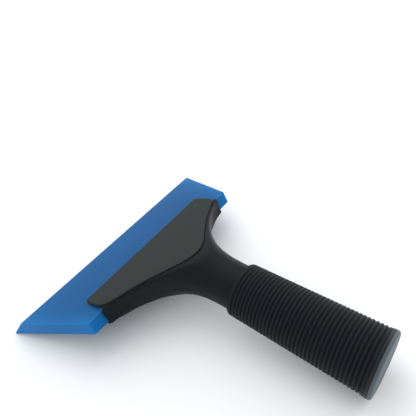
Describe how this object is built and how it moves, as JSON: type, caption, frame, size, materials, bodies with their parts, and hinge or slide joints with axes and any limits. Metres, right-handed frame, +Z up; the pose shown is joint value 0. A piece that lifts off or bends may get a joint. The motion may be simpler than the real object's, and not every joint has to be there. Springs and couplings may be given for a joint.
{
  "type": "squeegee applicator",
  "caption": "Hand squeegee with an angled, bevelled urethane blade clamped in the fan-shaped head of a flared handle with a ridged round grip.",
  "frame": {"origin": "on the bench the tool lies on, below the middle of its overall length and width", "axes": "+Z up; +Y from the butt of the grip towards the blade's working edge; X across the blade. The clamping face is up, and the tool rests on its working edge and on the rim of its butt."},
  "size_m": [0.127, 0.1514, 0.0318],
  "materials": {
    "blade_urethane": "satin",
    "handle_plastic": "satin",
    "plate_plastic": "matte",
    "insert_brass": "machined",
    "screw_steel": "zinc plated",
    "grip_rubber": "satin",
    "cap_plastic": "satin"
  },
  "bodies": {
    "handle": {"handle_body": "handle_plastic", "face_plate": "plate_plastic", "thread_inserts": "insert_brass", "clamp_screws": "screw_steel", "grip_sleeve": "grip_rubber", "end_cap": "cap_plastic"},
    "blade": {"blade": "blade_urethane"}
  },
  "joints": [
    {"name": "blade_slide", "type": "slide", "parent": "handle", "child": "blade", "axis": [1, 0, 0], "range_m": [-0.087, 0.087]}
  ]
}
